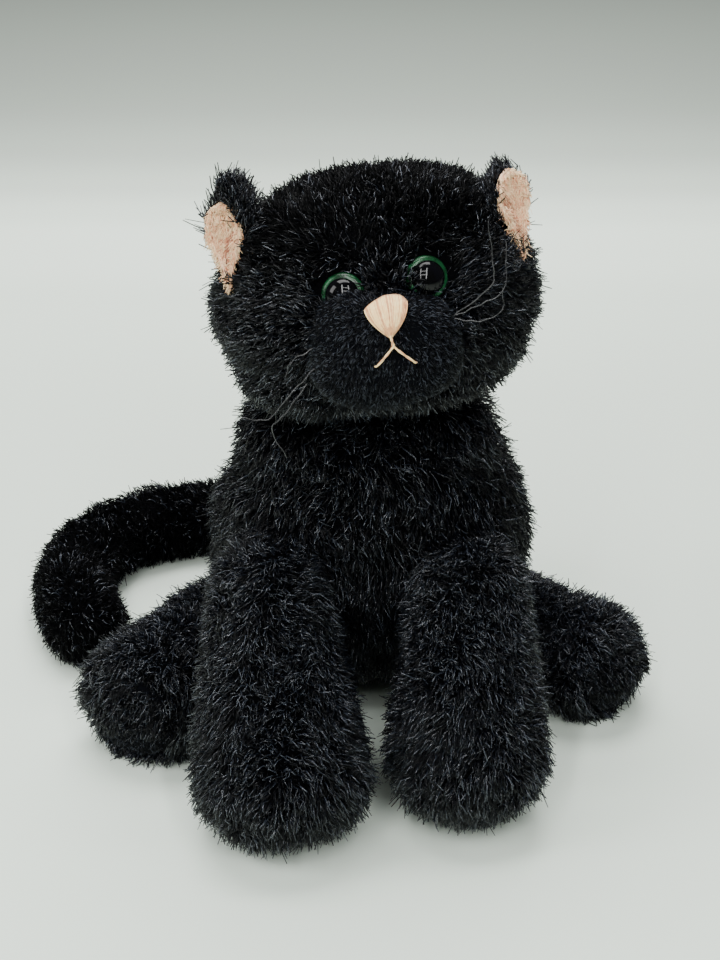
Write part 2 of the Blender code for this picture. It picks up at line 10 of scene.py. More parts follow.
import bmesh
import bpy
import numpy as np
from mathutils import Euler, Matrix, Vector


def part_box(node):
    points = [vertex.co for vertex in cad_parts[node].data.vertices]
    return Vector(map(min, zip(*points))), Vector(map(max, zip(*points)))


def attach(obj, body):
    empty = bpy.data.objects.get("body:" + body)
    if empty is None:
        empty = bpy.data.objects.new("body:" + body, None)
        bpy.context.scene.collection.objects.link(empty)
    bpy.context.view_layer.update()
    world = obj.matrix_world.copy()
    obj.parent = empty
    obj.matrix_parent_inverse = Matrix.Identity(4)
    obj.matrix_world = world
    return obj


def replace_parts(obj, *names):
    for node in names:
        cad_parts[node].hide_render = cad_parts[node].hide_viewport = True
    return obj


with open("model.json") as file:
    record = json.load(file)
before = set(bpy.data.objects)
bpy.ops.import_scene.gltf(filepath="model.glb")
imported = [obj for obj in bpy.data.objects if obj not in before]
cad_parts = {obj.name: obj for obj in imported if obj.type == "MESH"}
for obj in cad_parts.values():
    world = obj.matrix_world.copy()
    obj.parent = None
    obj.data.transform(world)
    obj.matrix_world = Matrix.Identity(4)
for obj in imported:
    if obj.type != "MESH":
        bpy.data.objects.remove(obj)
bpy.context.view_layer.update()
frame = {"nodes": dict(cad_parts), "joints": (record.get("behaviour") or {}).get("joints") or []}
NODES = frame["nodes"]
JOINTS = {joint["name"]: Vector(joint["pos_m"]) for joint in frame["joints"]}
MM = 0.001
SIDES = {"left": 1, "right": -1}
TAIL_PARTS = ("base", "middle", "tip")

# Head, as the CAD has it
NECK = JOINTS["neck_turn"]
HEAD_POSE = Euler([math.radians(a) for a in (-9, -7, 5)]).to_matrix()
MUZZLE_MIDDLE = Vector((0, -32, 22)) * MM
MUZZLE_SIZE = Vector((16.8, 10.6, 12.6)) * MM
MUZZLE_POWER = 2.5  # 2 would be an ellipse, and more is boxier
MUZZLE_RISE, MUZZLE_EXTRA_RISE = 0.6, 3.9  # mm all along its top, and more under the right eye
MUZZLE_RISE_AT, MUZZLE_RISE_WIDTH = -8.5, 5.5  # mm across the face, where that is

# Skins
FLOOR_CLEARANCE = 0.15 * MM
SMALLEST = 1e-12  # divides in the place of a length of zero
BATCH = 2000  # points whose distances are worked out at a time

# Pile
PILE_RADIUS = 0.14 * MM
STRAND_TIP = 0.7  # tip over root
STRANDS_PER_PIECE = 15000  # keeps each piece under 200,000 triangles
ROOT_DEPTH = 0.25 * MM  # strands start this far under the skin
LONG_WAVE, SHORT_WAVE = 14 * MM, 5 * MM  # distances over which the lie of the pile changes
LOWEST_LIE = 0.12  # strands that lean out of the skin by less than this are lifted
LENGTHS, LENGTH_SHARES = (1.0, 1.3, 0.7), (0.70, 0.08, 0.22)  # most strands, long ones and broken ones
CELL_PRIMES = (73856093, 19349663, 83492791)  # they mix a cell's three numbers into one
SOLE_TOP = 12 * MM  # the long pile hangs down this far over the soles


# Places --------------------------------------------------------------------------------------------


def in_head(x, y, z):
    """A point given in millimetres in the head's own frame."""
    return NECK + HEAD_POSE @ (Vector((x, y, z)) * MM)


def middle_of(node):
    low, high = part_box(node)
    return (low + high) / 2


def muzzle_rise(x):
    """How much further, in mm, the muzzle reaches up at x. It is sewn higher under the right eye."""
    return MUZZLE_RISE + MUZZLE_EXTRA_RISE * math.exp(-(((x - MUZZLE_RISE_AT) / MUZZLE_RISE_WIDTH) ** 2))


def muzzle_point(x, z, above=0.0):
    """The point above the muzzle, at x and z millimetres in the head's frame. It is a boxy dome."""
    size = MUZZLE_SIZE / MM + Vector((above,) * 3)
    middle = MUZZLE_MIDDLE / MM
    if z > middle.z:
        size.z += muzzle_rise(x)
    left = 1 - abs(x / size.x) ** MUZZLE_POWER - abs((z - middle.z) / size.z) ** MUZZLE_POWER
    return in_head(x, middle.y - size.y * max(0.001, left) ** (1 / MUZZLE_POWER), z)


# Materials -----------------------------------------------------------------------------------------


GRAIN_DEPTH = 0.3 * MM


def new_material(name):
    made = bpy.data.materials.new(name)
    made.use_nodes = True
    return made, made.node_tree, made.node_tree.nodes["Principled BSDF"]


def plain_material(name, colour, roughness, specular=0.5):
    """One shade of a fibre. Pieces with many fibres mix several of these."""
    made, _, shader = new_material(name)
    shader.inputs["Base Color"].default_value = (*colour, 1)
    shader.inputs["Roughness"].default_value = roughness
    shader.inputs["Specular IOR Level"].default_value = specular
    return made


def mottled_material(
    name, dark, light, scale, roughness, bump, sheen=0.0, bump_scale=None, specular=0.5
):
    """Two shades mixed by noise, with a fine bump."""
    made, tree, shader = new_material(name)
    place = tree.nodes.new("ShaderNodeTexCoord")
    mottle = tree.nodes.new("ShaderNodeTexNoise")
    mottle.inputs["Scale"].default_value = scale
    mottle.inputs["Detail"].default_value = 6
    ramp = tree.nodes.new("ShaderNodeValToRGB")
    for stop, position, shade in zip(ramp.color_ramp.elements, (0.35, 0.65), (dark, light)):
        stop.position = position
        stop.color = (*shade, 1)
    grain = tree.nodes.new("ShaderNodeTexNoise")
    grain.inputs["Scale"].default_value = bump_scale or scale * 4
    raised = tree.nodes.new("ShaderNodeBump")
    raised.inputs["Strength"].default_value = bump
    raised.inputs["Distance"].default_value = GRAIN_DEPTH
    links = tree.links
    links.new(place.outputs["Object"], mottle.inputs["Vector"])
    links.new(place.outputs["Object"], grain.inputs["Vector"])
    links.new(mottle.outputs["Fac"], ramp.inputs["Fac"])
    links.new(ramp.outputs["Color"], shader.inputs["Base Color"])
    links.new(grain.outputs["Fac"], raised.inputs["Height"])
    links.new(raised.outputs["Normal"], shader.inputs["Normal"])
    shader.inputs["Roughness"].default_value = roughness
    shader.inputs["Sheen Weight"].default_value = sheen
    shader.inputs["Specular IOR Level"].default_value = specular
    return made


# Shades of the fibres, and the share of the strands that has each. The grey fibres are paler than the black
# pile and stand in for glints: painted highlight.
BLACK_PILE = [
    plain_material("pile_black", (0.0006, 0.0007, 0.0011), 0.34, 0.16),
    plain_material("pile_blue_black", (0.0018, 0.0024, 0.0045), 0.30, 0.24),
    plain_material("pile_charcoal", (0.0095, 0.012, 0.0175), 0.25, 0.55),
    plain_material("pile_grey_painted_glint", (0.032, 0.039, 0.053), 0.24, 0.90),
]
BLACK_SHARES = (0.48, 0.27, 0.15, 0.10)
# The legs have more of the charcoal and grey fibres: painted sheen.
LEG_SHARES = (0.35, 0.25, 0.22, 0.18)
# A flat near-black fibre laid as painted shade, on the crown and over most of the tail.
PAINTED_SHADE_PILE = plain_material("pile_painted_shade", (0.0003, 0.0004, 0.0006), 0.5, 0.05)
# The tail's pile is mostly that near-black with few pale fibres: painted shade, as the tail lies behind the
# body.
TAIL_PILE = [PAINTED_SHADE_PILE, *BLACK_PILE[1:]]
TAIL_SHARES = (0.80, 0.12, 0.05, 0.03)
NAP = [
    plain_material("nap_black", (0.0008, 0.0010, 0.0018), 0.45, 0.14),
    plain_material("nap_navy", (0.0024, 0.0033, 0.0062), 0.42, 0.20),
    plain_material("nap_slate", (0.030, 0.037, 0.052), 0.36, 0.45),
]
NAP_SHARES = (0.46, 0.32, 0.22)
# nap_deep_peach is a few strands all over, and painted shade along a crease line on each ear's lining.
PINK_NAP = [
    plain_material("nap_peach", (0.95, 0.55, 0.33), 0.6),
    plain_material("nap_pale_peach", (1.0, 0.76, 0.48), 0.6),
    plain_material("nap_deep_peach", (0.60, 0.26, 0.16), 0.7),
]
PINK_SHARES = (0.36, 0.60, 0.04)

# The cloth that the fibres stand in
SKIN = mottled_material(
    "plush_backing", (0.0003, 0.0003, 0.0005), (0.001, 0.0011, 0.0016), 900, 0.9, 0.8, specular=0.03
)
NAP_SKIN = mottled_material(
    "short_plush_backing", (0.0004, 0.0005, 0.0010), (0.0012, 0.0016, 0.003), 1400, 0.85, 0.6, specular=0.05
)
PINK_SKIN = mottled_material(
    "pink_plush_backing", (0.74, 0.40, 0.26), (0.95, 0.66, 0.45), 260, 0.85, 0.5, 0.3, 2200
)


# Meshes --------------------------------------------------------------------------------------------


def object_of(name, mesh, materials, body):
    """A visible piece that rides on a body."""
    piece = bpy.data.objects.new(name, mesh)
    bpy.context.scene.collection.objects.link(piece)
    for material in materials:
        mesh.materials.append(material)
    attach(piece, body)
    return piece


def grid_faces(rows, columns, closed):
    """Quads between rows of corners. Where closed is true, each row is a ring."""
    faces = []
    for i in range(rows - 1):
        for k in range(columns if closed else columns - 1):
            after = (k + 1) % columns
            low, high = i * columns, (i + 1) * columns
            faces.append((low + k, low + after, high + after, high + k))
    return faces


def mesh_of(name, corners, faces):
    """A smooth mesh from arrays of corners and of triangles or quads."""
    corners, faces = np.asarray(corners, np.float32), np.asarray(faces, np.int32)
    mesh = bpy.data.meshes.new(name)
    mesh.vertices.add(len(corners))
    mesh.vertices.foreach_set("co", corners.ravel())
    mesh.loops.add(faces.size)
    mesh.loops.foreach_set("vertex_index", faces.ravel())
    mesh.polygons.add(len(faces))
    mesh.polygons.foreach_set("loop_start", np.arange(0, faces.size, faces.shape[1], dtype=np.int32))
    mesh.polygons.foreach_set("use_smooth", np.ones(len(faces), bool))
    mesh.update(calc_edges=True)
    return mesh


def largest_island(bm):
    """Removes all but the largest connected part."""
    bm.verts.ensure_lookup_table()
    left, best = set(bm.verts), set()
    while left:
        island, edge = set(), [next(iter(left))]
        while edge:
            vert = edge.pop()
            if vert in island:
                continue
            island.add(vert)
            edge += [e.other_vert(vert) for e in vert.link_edges]
        left -= island
        if len(island) > len(best):
            best = island
    bmesh.ops.delete(bm, geom=[v for v in bm.verts if v not in best], context="VERTS")


def face_outward(mesh, weld=1e-7):
    """Joins the points of a closed mesh that coincide and turns its faces outward."""
    bm = bmesh.new()
    bm.from_mesh(mesh)
    bmesh.ops.remove_doubles(bm, verts=bm.verts, dist=weld)
    bmesh.ops.recalc_face_normals(bm, faces=bm.faces)
    if bm.calc_volume(signed=True) < 0:
        bmesh.ops.reverse_faces(bm, faces=bm.faces)
    bm.to_mesh(mesh)
    bm.free()
    mesh.shade_smooth()


def apply_modifiers(piece):
    """Puts the mesh that the modifiers make in the place of the piece's own."""
    graph = bpy.context.evaluated_depsgraph_get()
    done = bpy.data.meshes.new_from_object(piece.evaluated_get(graph))
    piece.modifiers.clear()
    old = piece.data
    piece.data = done
    bpy.data.meshes.remove(old)


def skin_of(
    name, body, nodes, fillers=(), voxel=1.6, smoothing=8, swell=0.35, material=SKIN
):
    """One closed skin round some CAD solids, with balls (middle, radius) that fill their sockets.

    voxel and swell are in mm. The swell makes up for what the smoothing takes off.
    """
    bm = bmesh.new()
    for node in nodes:
        bm.from_mesh(NODES[node].data)
    for middle, radius in fillers:
        ball = bmesh.ops.create_uvsphere(bm, u_segments=24, v_segments=16, radius=radius)
        bmesh.ops.translate(bm, verts=ball["verts"], vec=middle)
    mesh = bpy.data.meshes.new(name)
    bm.to_mesh(mesh)
    bm.free()
    piece = bpy.data.objects.new(name, mesh)
    bpy.context.scene.collection.objects.link(piece)
    remesh = piece.modifiers.new("remesh", "REMESH")
    remesh.mode = "VOXEL"
    remesh.voxel_size = voxel * MM
    apply_modifiers(piece)
    bm = bmesh.new()
    bm.from_mesh(piece.data)
    largest_island(bm)
    every_way = {"use_axis_x": True, "use_axis_y": True, "use_axis_z": True}
    for _ in range(smoothing):
        bmesh.ops.smooth_vert(bm, verts=bm.verts, factor=0.5, **every_way)
    bm.normal_update()
    for vert in bm.verts:
        vert.co += vert.normal * swell * MM
        vert.co.z = max(vert.co.z, FLOOR_CLEARANCE)
    bm.to_mesh(piece.data)
    bm.free()
    piece.data.shade_smooth()
    piece.data.materials.clear()
    piece.data.materials.append(material)
    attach(piece, body)
    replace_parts(piece, *nodes)
    return piece


# Pile ----------------------------------------------------------------------------------------------


def unit(vectors):
    return vectors / np.maximum(np.linalg.norm(vectors, axis=1, keepdims=True), SMALLEST)


def waves(points, length, rng, count=7):
    """A smooth vector field that changes over this length, in metres."""
    out = np.zeros_like(points)
    for _ in range(count):
        direction = unit(rng.normal(size=(1, 3)))[0] * 2 * math.pi / (length * rng.uniform(0.7, 1.5))
        out += np.sin(points @ direction + rng.uniform(0, 2 * math.pi))[:, None] * rng.normal(size=3)
    return out / math.sqrt(count)


def triples(items, attribute, kind):
    """One attribute of all the items, as rows of three."""
    values = np.empty(len(items) * 3, kind)
    items.foreach_get(attribute, values)
    return values.reshape(-1, 3)


def scatter(mesh, count, rng, keep=None):
    """Points spread evenly over a mesh, and the normals there."""
    mesh.calc_loop_triangles()
    corners = triples(mesh.vertices, "co", np.float32).astype(float)
    normals = triples(mesh.vertex_normals, "vector", np.float32).astype(float)
    faces = triples(mesh.loop_triangles, "vertices", np.int32)
    a, b, c = (corners[faces[:, k]] for k in range(3))
    area = np.linalg.norm(np.cross(b - a, c - a), axis=1)
    chosen = rng.choice(len(faces), size=count, p=area / area.sum())
    u, v = rng.random(count), rng.random(count)
    flip = u + v > 1
    u[flip], v[flip] = 1 - u[flip], 1 - v[flip]
    weights = np.stack([1 - u - v, u, v], axis=1)[:, :, None]
    points = (corners[faces[chosen]] * weights).sum(axis=1)
    facing = unit((normals[faces[chosen]] * weights).sum(axis=1))
    if keep is not None:
        kept = rng.random(count) < keep(points, facing)
        points, facing = points[kept], facing[kept]
    return points, facing


def gather(tips, points, cell, strength):
    """Pulls the tips that start in one cell of a grid together, as damp or brushed pile clumps."""
    keys = np.floor(points / cell).astype(np.int64)
    keys = keys * np.array(CELL_PRIMES)
    keys = keys[:, 0] ^ keys[:, 1] ^ keys[:, 2]
    _, index = np.unique(keys, return_inverse=True)
    index = index.reshape(-1)
    total = np.bincount(index)
    means = np.stack([np.bincount(index, tips[:, k]) / total for k in range(3)], axis=1)
    return tips + (means[index] - tips) * strength[:, None]


def strand_arrays(points, middles, tips, radius):
    """Corners and triangles of one blunt three-sided strand for each point, and its number of triangles."""
    count = len(points)
    along = unit(tips - points)
    helper = np.where(np.abs(along[:, 2:3]) < 0.9, [[0.0, 0.0, 1.0]], [[1.0, 0.0, 0.0]])
    across = unit(np.cross(along, helper))
    other = np.cross(along, across)
    ring = []
    for k in range(3):
        angle = 2 * math.pi * k / 3
        ring.append(across * math.cos(angle) + other * math.sin(angle))
    ring = np.stack(ring, axis=1) * radius[:, None, None]
    corners = np.empty((count, 9, 3))  # three rings of three
    corners[:, 0:3] = points[:, None] + ring
    corners[:, 3:6] = middles[:, None] + ring
    corners[:, 6:9] = tips[:, None] + ring * STRAND_TIP
    pattern = [(6, 7, 8)]
    for low in (0, 3):
        for k in range(3):
            after = (k + 1) % 3
            pattern += [(low + k, low + after, low + 3 + after), (low + k, low + 3 + after, low + 3 + k)]
    faces = np.arange(count)[:, None, None] * 9 + np.array(pattern)[None]
    return corners.reshape(-1, 3), faces.reshape(-1, 3), len(pattern)


def grow(
    name, skin, body, count, length, comb, seed, materials=BLACK_PILE, shares=BLACK_SHARES,
    radius=PILE_RADIUS, lift=0.80, comb_strength=0.32, stray=0.50, wave=0.45, clump=0.44, cell=2.3 * MM,
    droop=0.15, keep=None, stretch=None, painted_shade=None,
):
    """Pile on a skin. length is in mm, shortest and longest. comb(points, normals) is the way of the brush.

    keep(points, normals) is the chance that a strand stands at a point, stretch(points) a factor on its
    length, and the painted-shade function the chance that it has the last of the materials, a darker one laid
    as painted shade.
    """
    rng = np.random.default_rng(seed)
    points, normals = scatter(skin.data, int(count), rng, keep)
    flow = comb(points, normals)
    flow = unit(flow - normals * (flow * normals).sum(axis=1, keepdims=True))
    swirl = waves(points, LONG_WAVE, rng) * wave + waves(points, SHORT_WAVE, rng) * wave * 0.5
    start = unit(normals * lift + flow * comb_strength + swirl + rng.normal(size=points.shape) * stray)
    below = (start * normals).sum(axis=1) < LOWEST_LIE
    start[below] = unit(start[below] + normals[below] * 0.5)
    reach = rng.uniform(*length, size=len(points)) * MM
    reach *= rng.choice(LENGTHS, size=len(points), p=LENGTH_SHARES)
    if stretch is not None:
        reach *= stretch(points)
    roots = points - normals * ROOT_DEPTH
    middles = roots + start * reach[:, None] * 0.5
    bend = unit(start + flow * 0.35 + [0, 0, -droop] + rng.normal(size=points.shape) * stray * 0.8)
    tips = middles + bend * reach[:, None] * 0.5
    tips = gather(tips, points, cell, rng.uniform(0, clump * 2, size=len(points)))
    for spots in (roots, middles, tips):
        spots[:, 2] = np.maximum(spots[:, 2], FLOOR_CLEARANCE)
    thickness = radius * rng.uniform(0.7, 1.25, size=len(points))
    shade = rng.choice(len(materials), size=len(points), p=shares)
    # Painted shade: where the painted-shade function says so, strands take the last, darker material.
    if painted_shade is not None:
        shade[rng.random(len(points)) < painted_shade(points)] = len(materials) - 1
    pieces = max(1, math.ceil(len(points) / STRANDS_PER_PIECE))
    order = np.argsort(points[:, 2], kind="stable")
    for number, part in enumerate(np.array_split(order, pieces), 1):
        corners, faces, per = strand_arrays(roots[part], middles[part], tips[part], thickness[part])
        title = name if pieces == 1 else f"{name}_{number}"
        mesh = mesh_of(title, corners, faces)
        mesh.polygons.foreach_set("material_index", np.repeat(shade[part], per).astype(np.int32))
        object_of(title, mesh, materials, body)


def towards(x, y, z):
    """A comb that brushes one way all over."""
    return lambda points, normals: np.tile(np.array([x, y, z], float), (len(points), 1))


def away_from(place, down=0.3):
    """A comb that brushes outward from a place, and a little down."""
    return lambda points, normals: unit(points - np.array(place)) + [0, 0, -down]


# Body ----------------------------------------------------------------------------------------------


# Balls that fill the torso's sockets, so that no hole shows beside the pieces that turn there: the joint,
# and the ball's offset from it and radius, in mm
TORSO_FILLERS = (
    ("neck_turn", (-2, 0, -7), 16),
    ("neck_turn", (9, 1, -10), 16),
    ("left_front_leg_swing", (-3, 7, 0), 13),
    ("left_hind_leg_spread", (-5, 1, -3), 11),
    ("neck_turn", (-17, 1, -10), 16),
    ("right_front_leg_swing", (3, 7, 0), 13),
    ("right_hind_leg_spread", (5, 1, -3), 11),
    ("tail_base_bend", (0, -4, 0), 10),
    ("neck_turn", (-18, -1, -14), 15.5),
)
NECK_PILE_FROM, NECK_PILE_OVER = 72 * MM, 14 * MM  # heights over which the pile grows longer
PAW_PILE_BELOW, PAW_PILE_OVER = 38 * MM, 16 * MM
SOLE_EDGE = 1.0 * MM  # how far before the sole's middle the long pile ends
SOLE_FACING = 0.55  # skin that faces along the leg by more than this lies under the sole
SOLE_OVERLAP = 1.5 * MM
TAIL_FILLER = 9.0 * MM  # radius


def longer_at_neck(points):
    """The pile stands longer round the neck, where it fills the fold under the head."""
    return 1 + 0.35 * np.clip((points[:, 2] - NECK_PILE_FROM) / NECK_PILE_OVER, 0, 1)


def make_torso():
    fillers = [(JOINTS[joint] + Vector(offset) * MM, radius * MM) for joint, offset, radius in TORSO_FILLERS]
    nodes = ("torso_cover", "torso_stuffing", "seat_pellet_bag")
    skin = skin_of("torso_skin", "torso", nodes, fillers)
    grow(
        "torso_fur", skin, "torso", 44500, (3.6, 5.6), towards(0, -0.15, -1), 11,
        comb_strength=0.6, stretch=longer_at_neck,
    )


def longer_at_paw(points):
    """The pile on a paw is brushed up, so it stands a little further out."""
    return 1 + 0.22 * np.clip((PAW_PILE_BELOW - points[:, 2]) / PAW_PILE_OVER, 0, 1)


def make_front_leg(side, seed):
    nodes = (f"{side}_front_leg_cover", f"{side}_front_leg_stuffing", f"{side}_front_paw_pellet_bag")
    body = f"{side}_front_leg"
    skin = skin_of(f"{side}_front_leg_skin", body, nodes)
    grow(
        f"{side}_front_leg_fur", skin, body, 20000, (3.2, 5.0), towards(0, -0.25, -1), seed,
        shares=LEG_SHARES, stretch=longer_at_paw,
    )


def make_hind_leg(side, seed):
    """A hind leg. Its foot ends in a short-pile sole, which the long pile above hangs over."""
    body = f"{side}_hind_leg"
    cover = (f"{side}_hind_leg_cover", f"{side}_hind_leg_stuffing", f"{side}_hind_foot_pellet_bag")
    skin = skin_of(f"{side}_hind_leg_skin", body, cover)
    pad = f"{side}_hind_sole_pad"
    sole = skin_of(
        f"{side}_sole_skin", body, (pad,), voxel=0.9, smoothing=4, swell=0.5, material=NAP_SKIN
    )
    along = np.array((middle_of(pad) - JOINTS[f"{side}_hind_leg_spread"]).normalized())
    edge = float(np.dot(np.array(middle_of(pad)), along)) - SOLE_EDGE
    brushed = towards(*along * 0.8 + [0, 0, -0.5])

    def off_sole(points, normals):
        bare = (points @ along > edge) & (normals @ along > SOLE_FACING)
        return np.where(bare, 0.0, 1.0)

    def upper_sole(points, normals):
        return np.where(points[:, 2] > SOLE_TOP, 1.0, 0.0)

    def lower_sole(points, normals):
        return np.where(points[:, 2] > SOLE_TOP + SOLE_OVERLAP, 0.0, 1.0)

    grow(
        f"{side}_hind_leg_fur", skin, body, 14500, (3.4, 5.6), brushed, seed,
        shares=LEG_SHARES, keep=off_sole,
    )
    grow(
        f"{side}_sole_fringe", sole, body, 3200, (3.0, 4.6), brushed, seed + 2,
        keep=upper_sole,
    )
    grow(
        f"{side}_sole_nap", sole, body, 5000, (0.8, 1.3), towards(0, 0, -1), seed + 1,
        NAP, NAP_SHARES, radius=0.07 * MM, stray=0.4, clump=0.2, keep=lower_sole,
    )


def make_tail(seed):
    """Three lengths. A ball in each bend closes the gap to the length before."""
    for number, part in enumerate(TAIL_PARTS):
        body = f"tail_{part}"
        nodes = (f"{body}_cover", f"{body}_stuffing")
        bend = JOINTS[f"{body}_bend"]
        fillers = [(bend, TAIL_FILLER)] if number else []
        skin = skin_of(f"{body}_skin", body, nodes, fillers)
        ahead = (middle_of(f"{body}_cover") - bend).normalized()
        grow(
            f"{body}_fur", skin, body, 7200, (2.8, 4.2), towards(*ahead), seed + number,
            TAIL_PILE, TAIL_SHARES, lift=1.0, comb_strength=0.3,
        )


def make_neck():
    """The short neck under the head's fur, and the ladder of stitches round it."""
    skin_of("neck_fabric", "neck", ("neck_stuffing",), voxel=1.2)
    skin_of(
        "neck_stitches", "neck_seam", ("neck_seam_thread",), voxel=0.35, smoothing=2, swell=0,
    )


# Head ----------------------------------------------------------------------------------------------


EYE_CLEAR = 5.2 * MM  # no pile is rooted within this of an eye's middle
LINING_CLEAR = 3.9 * MM  # or within this of an ear's lining
MUZZLE_CLEAR = 0.93  # or inside this share of the muzzle
COMB_FROM = (0, -40, 26)  # mm in the head's frame: the pile is brushed outward from here
BROW = 6 * MM  # the pile this near an eye is brushed over its rim
BROW_STRENGTH = 1.2
CROWN_FROM, CROWN_OVER = 36 * MM, 9 * MM  # heights over which more of the pile is near-black, as painted shade on the crown
# the most of the crown's pile that is painted shade
CROWN_SHARE = 0.72
NAP_FROM = (1, -42, 33)  # mm in the head's frame: the muzzle's nap is brushed outward from here
MUZZLE_SEAM = 3 * MM  # how far behind its middle the muzzle's nap ends


def off_face(points, normals):
    """Pile everywhere on the head but under the muzzle, the eyes and the ears' linings."""
    middle = np.array(in_head(*MUZZLE_MIDDLE / MM))
    size = np.array(MUZZLE_SIZE) * MUZZLE_CLEAR
    local = (points - middle) @ np.array(HEAD_POSE)
    inside = ((local / size) ** 2).sum(axis=1) < 1.0
    keep = np.where(inside, 0.0, 1.0)
    for side in SIDES:
        away = np.linalg.norm(points - np.array(middle_of(f"{side}_eye_disc")), axis=1)
        keep = np.where(away < EYE_CLEAR, 0.0, keep)
        keep = np.where(nearest(points, lining_spots(side)) < LINING_CLEAR, 0.0, keep)
    return keep


def head_comb(points, normals):
    """Outward from the nose and down, but over the eyes' rims from above."""
    flow = unit(points - np.array(in_head(*COMB_FROM))) + [0, 0, -0.35]
    for side in SIDES:
        gap = np.array(middle_of(f"{side}_eye_disc")) - points
        away = np.linalg.norm(gap, axis=1)
        near = np.clip(1.6 - away / BROW, 0, 1)
        near *= np.where(gap[:, 2] < 0.5 * MM, 1.0, 0.15)
        flow += unit(gap) * near[:, None] * BROW_STRENGTH
    return flow


def crown_painted_shade(points):
    """The share of near-black pile laid on the crown as painted shade."""
    height = ((points - np.array(NECK)) @ np.array(HEAD_POSE))[:, 2]
    return CROWN_SHARE * np.clip((height - CROWN_FROM) / CROWN_OVER, 0, 1)


def make_head():
    skin = skin_of("head_skin", "head", ("head_cover", "head_stuffing"))
    grow(
        "head_fur", skin, "head", 44000, (3.2, 5.2), head_comb, 31,
        [*BLACK_PILE, PAINTED_SHADE_PILE], (*BLACK_SHARES, 0.0), keep=off_face, painted_shade=crown_painted_shade,
    )


def make_muzzle():
    """A padded oval sewn over the face, in shorter plush."""
    rings, sides = 16, 72
    middle = MUZZLE_MIDDLE / MM
    corners, faces = [muzzle_point(middle.x, middle.z)], []
    for i in range(1, rings + 1):
        share = math.sin(math.pi / 2 * i / rings)
        for k in range(sides):
            angle = 2 * math.pi * k / sides
            cos, sin = math.cos(angle), math.sin(angle)
            reach = (abs(cos) ** MUZZLE_POWER + abs(sin) ** MUZZLE_POWER) ** (-1 / MUZZLE_POWER) * share
            x, z = MUZZLE_SIZE.x / MM * cos * reach, MUZZLE_SIZE.z / MM * sin * reach
            if z > 0:
                z *= 1 + muzzle_rise(middle.x + x) * MM / MUZZLE_SIZE.z
            corners.append(muzzle_point(middle.x + x, middle.z + z))
    for k in range(sides):
        angle = 2 * math.pi * k / sides
        x, z = MUZZLE_SIZE.x / MM * math.cos(angle), MUZZLE_SIZE.z / MM * math.sin(angle)
        corners.append(in_head(middle.x + x * 0.9, middle.y + 8, middle.z + z * 0.9))
    corners.append(in_head(middle.x, middle.y + 9, middle.z))
    for k in range(sides):
        after = (k + 1) % sides
        faces.append((0, 1 + after, 1 + k, 1 + k))
        for i in range(rings):
            low, high = 1 + i * sides, 1 + (i + 1) * sides
            faces.append((low + k, low + after, high + after, high + k))
        last = 1 + rings * sides
        faces.append((last + k, last + after, len(corners) - 1, len(corners) - 1))
    triangles = []
    for a, b, c, d in faces:
        triangles.append((a, b, c))
        if d != c:
            triangles.append((a, c, d))
    mesh = mesh_of("muzzle_skin", corners, triangles)
    face_outward(mesh)
    skin = object_of("muzzle_skin", mesh, [NAP_SKIN], "head")
    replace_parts(skin, "muzzle_cover", "muzzle_stuffing")

    def in_front(points, normals):
        local = (points - np.array(in_head(0, 0, 0))) @ np.array(HEAD_POSE)
        return np.where(local[:, 1] < MUZZLE_MIDDLE.y + MUZZLE_SEAM, 1.0, 0.0)

    grow(
        "muzzle_nap", skin, "head", 26000, (0.8, 1.6), away_from(in_head(*NAP_FROM), 0.2), 33,
        NAP, NAP_SHARES, radius=0.085 * MM, lift=0.45, comb_strength=0.9, stray=0.34, clump=0.45,
        cell=1.4 * MM, droop=0, keep=in_front,
    )


def lathe(name, profile, place, outward, body, material, sides=64):
    """A round piece turned about outward. The profile is (radius, height) in mm, from back to front."""
    turn = outward.to_track_quat("Z", "Y").to_matrix()
    corners = []
    for radius, height in profile:
        for k in range(sides):
            angle = 2 * math.pi * k / sides
            spot = Vector((radius * math.cos(angle), radius * math.sin(angle), height)) * MM
            corners.append(place + turn @ spot)
    mesh = mesh_of(name, corners, grid_faces(len(profile), sides, closed=True))
    face_outward(mesh)
    return object_of(name, mesh, [material], body)


def quarter_ellipse(radius, low, high, steps):
    """Profile points from (radius, low) to the axis at high."""
    angles = [math.pi / 2 * k / steps for k in range(steps + 1)]
    return [(radius * math.cos(angle), low + (high - low) * math.sin(angle)) for angle in angles]


EYE_SINK = 1.3  # mm that the eyes are pulled into the pile
EYE_DEPTH = 1.1  # mm from the pupil's middle back to the disc's face
# Profiles as (radius, height) in mm, from the back to the front
IRIS = [
    (0.0, -1.6), (4.0, -1.6), (4.55, -1.4), (4.8, -0.9), (4.75, -0.35), (4.5, 0.05), (4.1, 0.25), (3.6, 0.35),
    (0.0, 0.35),
]
PUPIL = [(0.0, 0.2), (3.65, 0.2), *quarter_ellipse(3.72, 0.3, 2.6, 14)]


def make_eyes():
    """Each eye is a green disc with a glossy black dome on it, turned a little outward and up."""
    green = mottled_material(
        "eye_green_iris", (0.0015, 0.020, 0.006), (0.008, 0.080, 0.027), 500, 0.25, 0.03, specular=0.35
    )
    black = mottled_material(
        "eye_black_pupil", (0.001, 0.001, 0.001), (0.002, 0.002, 0.003), 300, 0.06, 0.01, specular=0.22
    )
    for side, sign in SIDES.items():
        outward = HEAD_POSE @ Vector((sign * 0.26, -0.94, 0.2)).normalized()
        place = middle_of(f"{side}_eye_pupil") - outward * (EYE_DEPTH + EYE_SINK) * MM
        iris = lathe(f"{side}_eye_iris", IRIS, place, outward, "head", green)
        dome = lathe(f"{side}_eye_dome", PUPIL, place, outward, "head", black)
        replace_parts(iris, f"{side}_eye_disc", f"{side}_eye_washer")
        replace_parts(dome, f"{side}_eye_pupil")


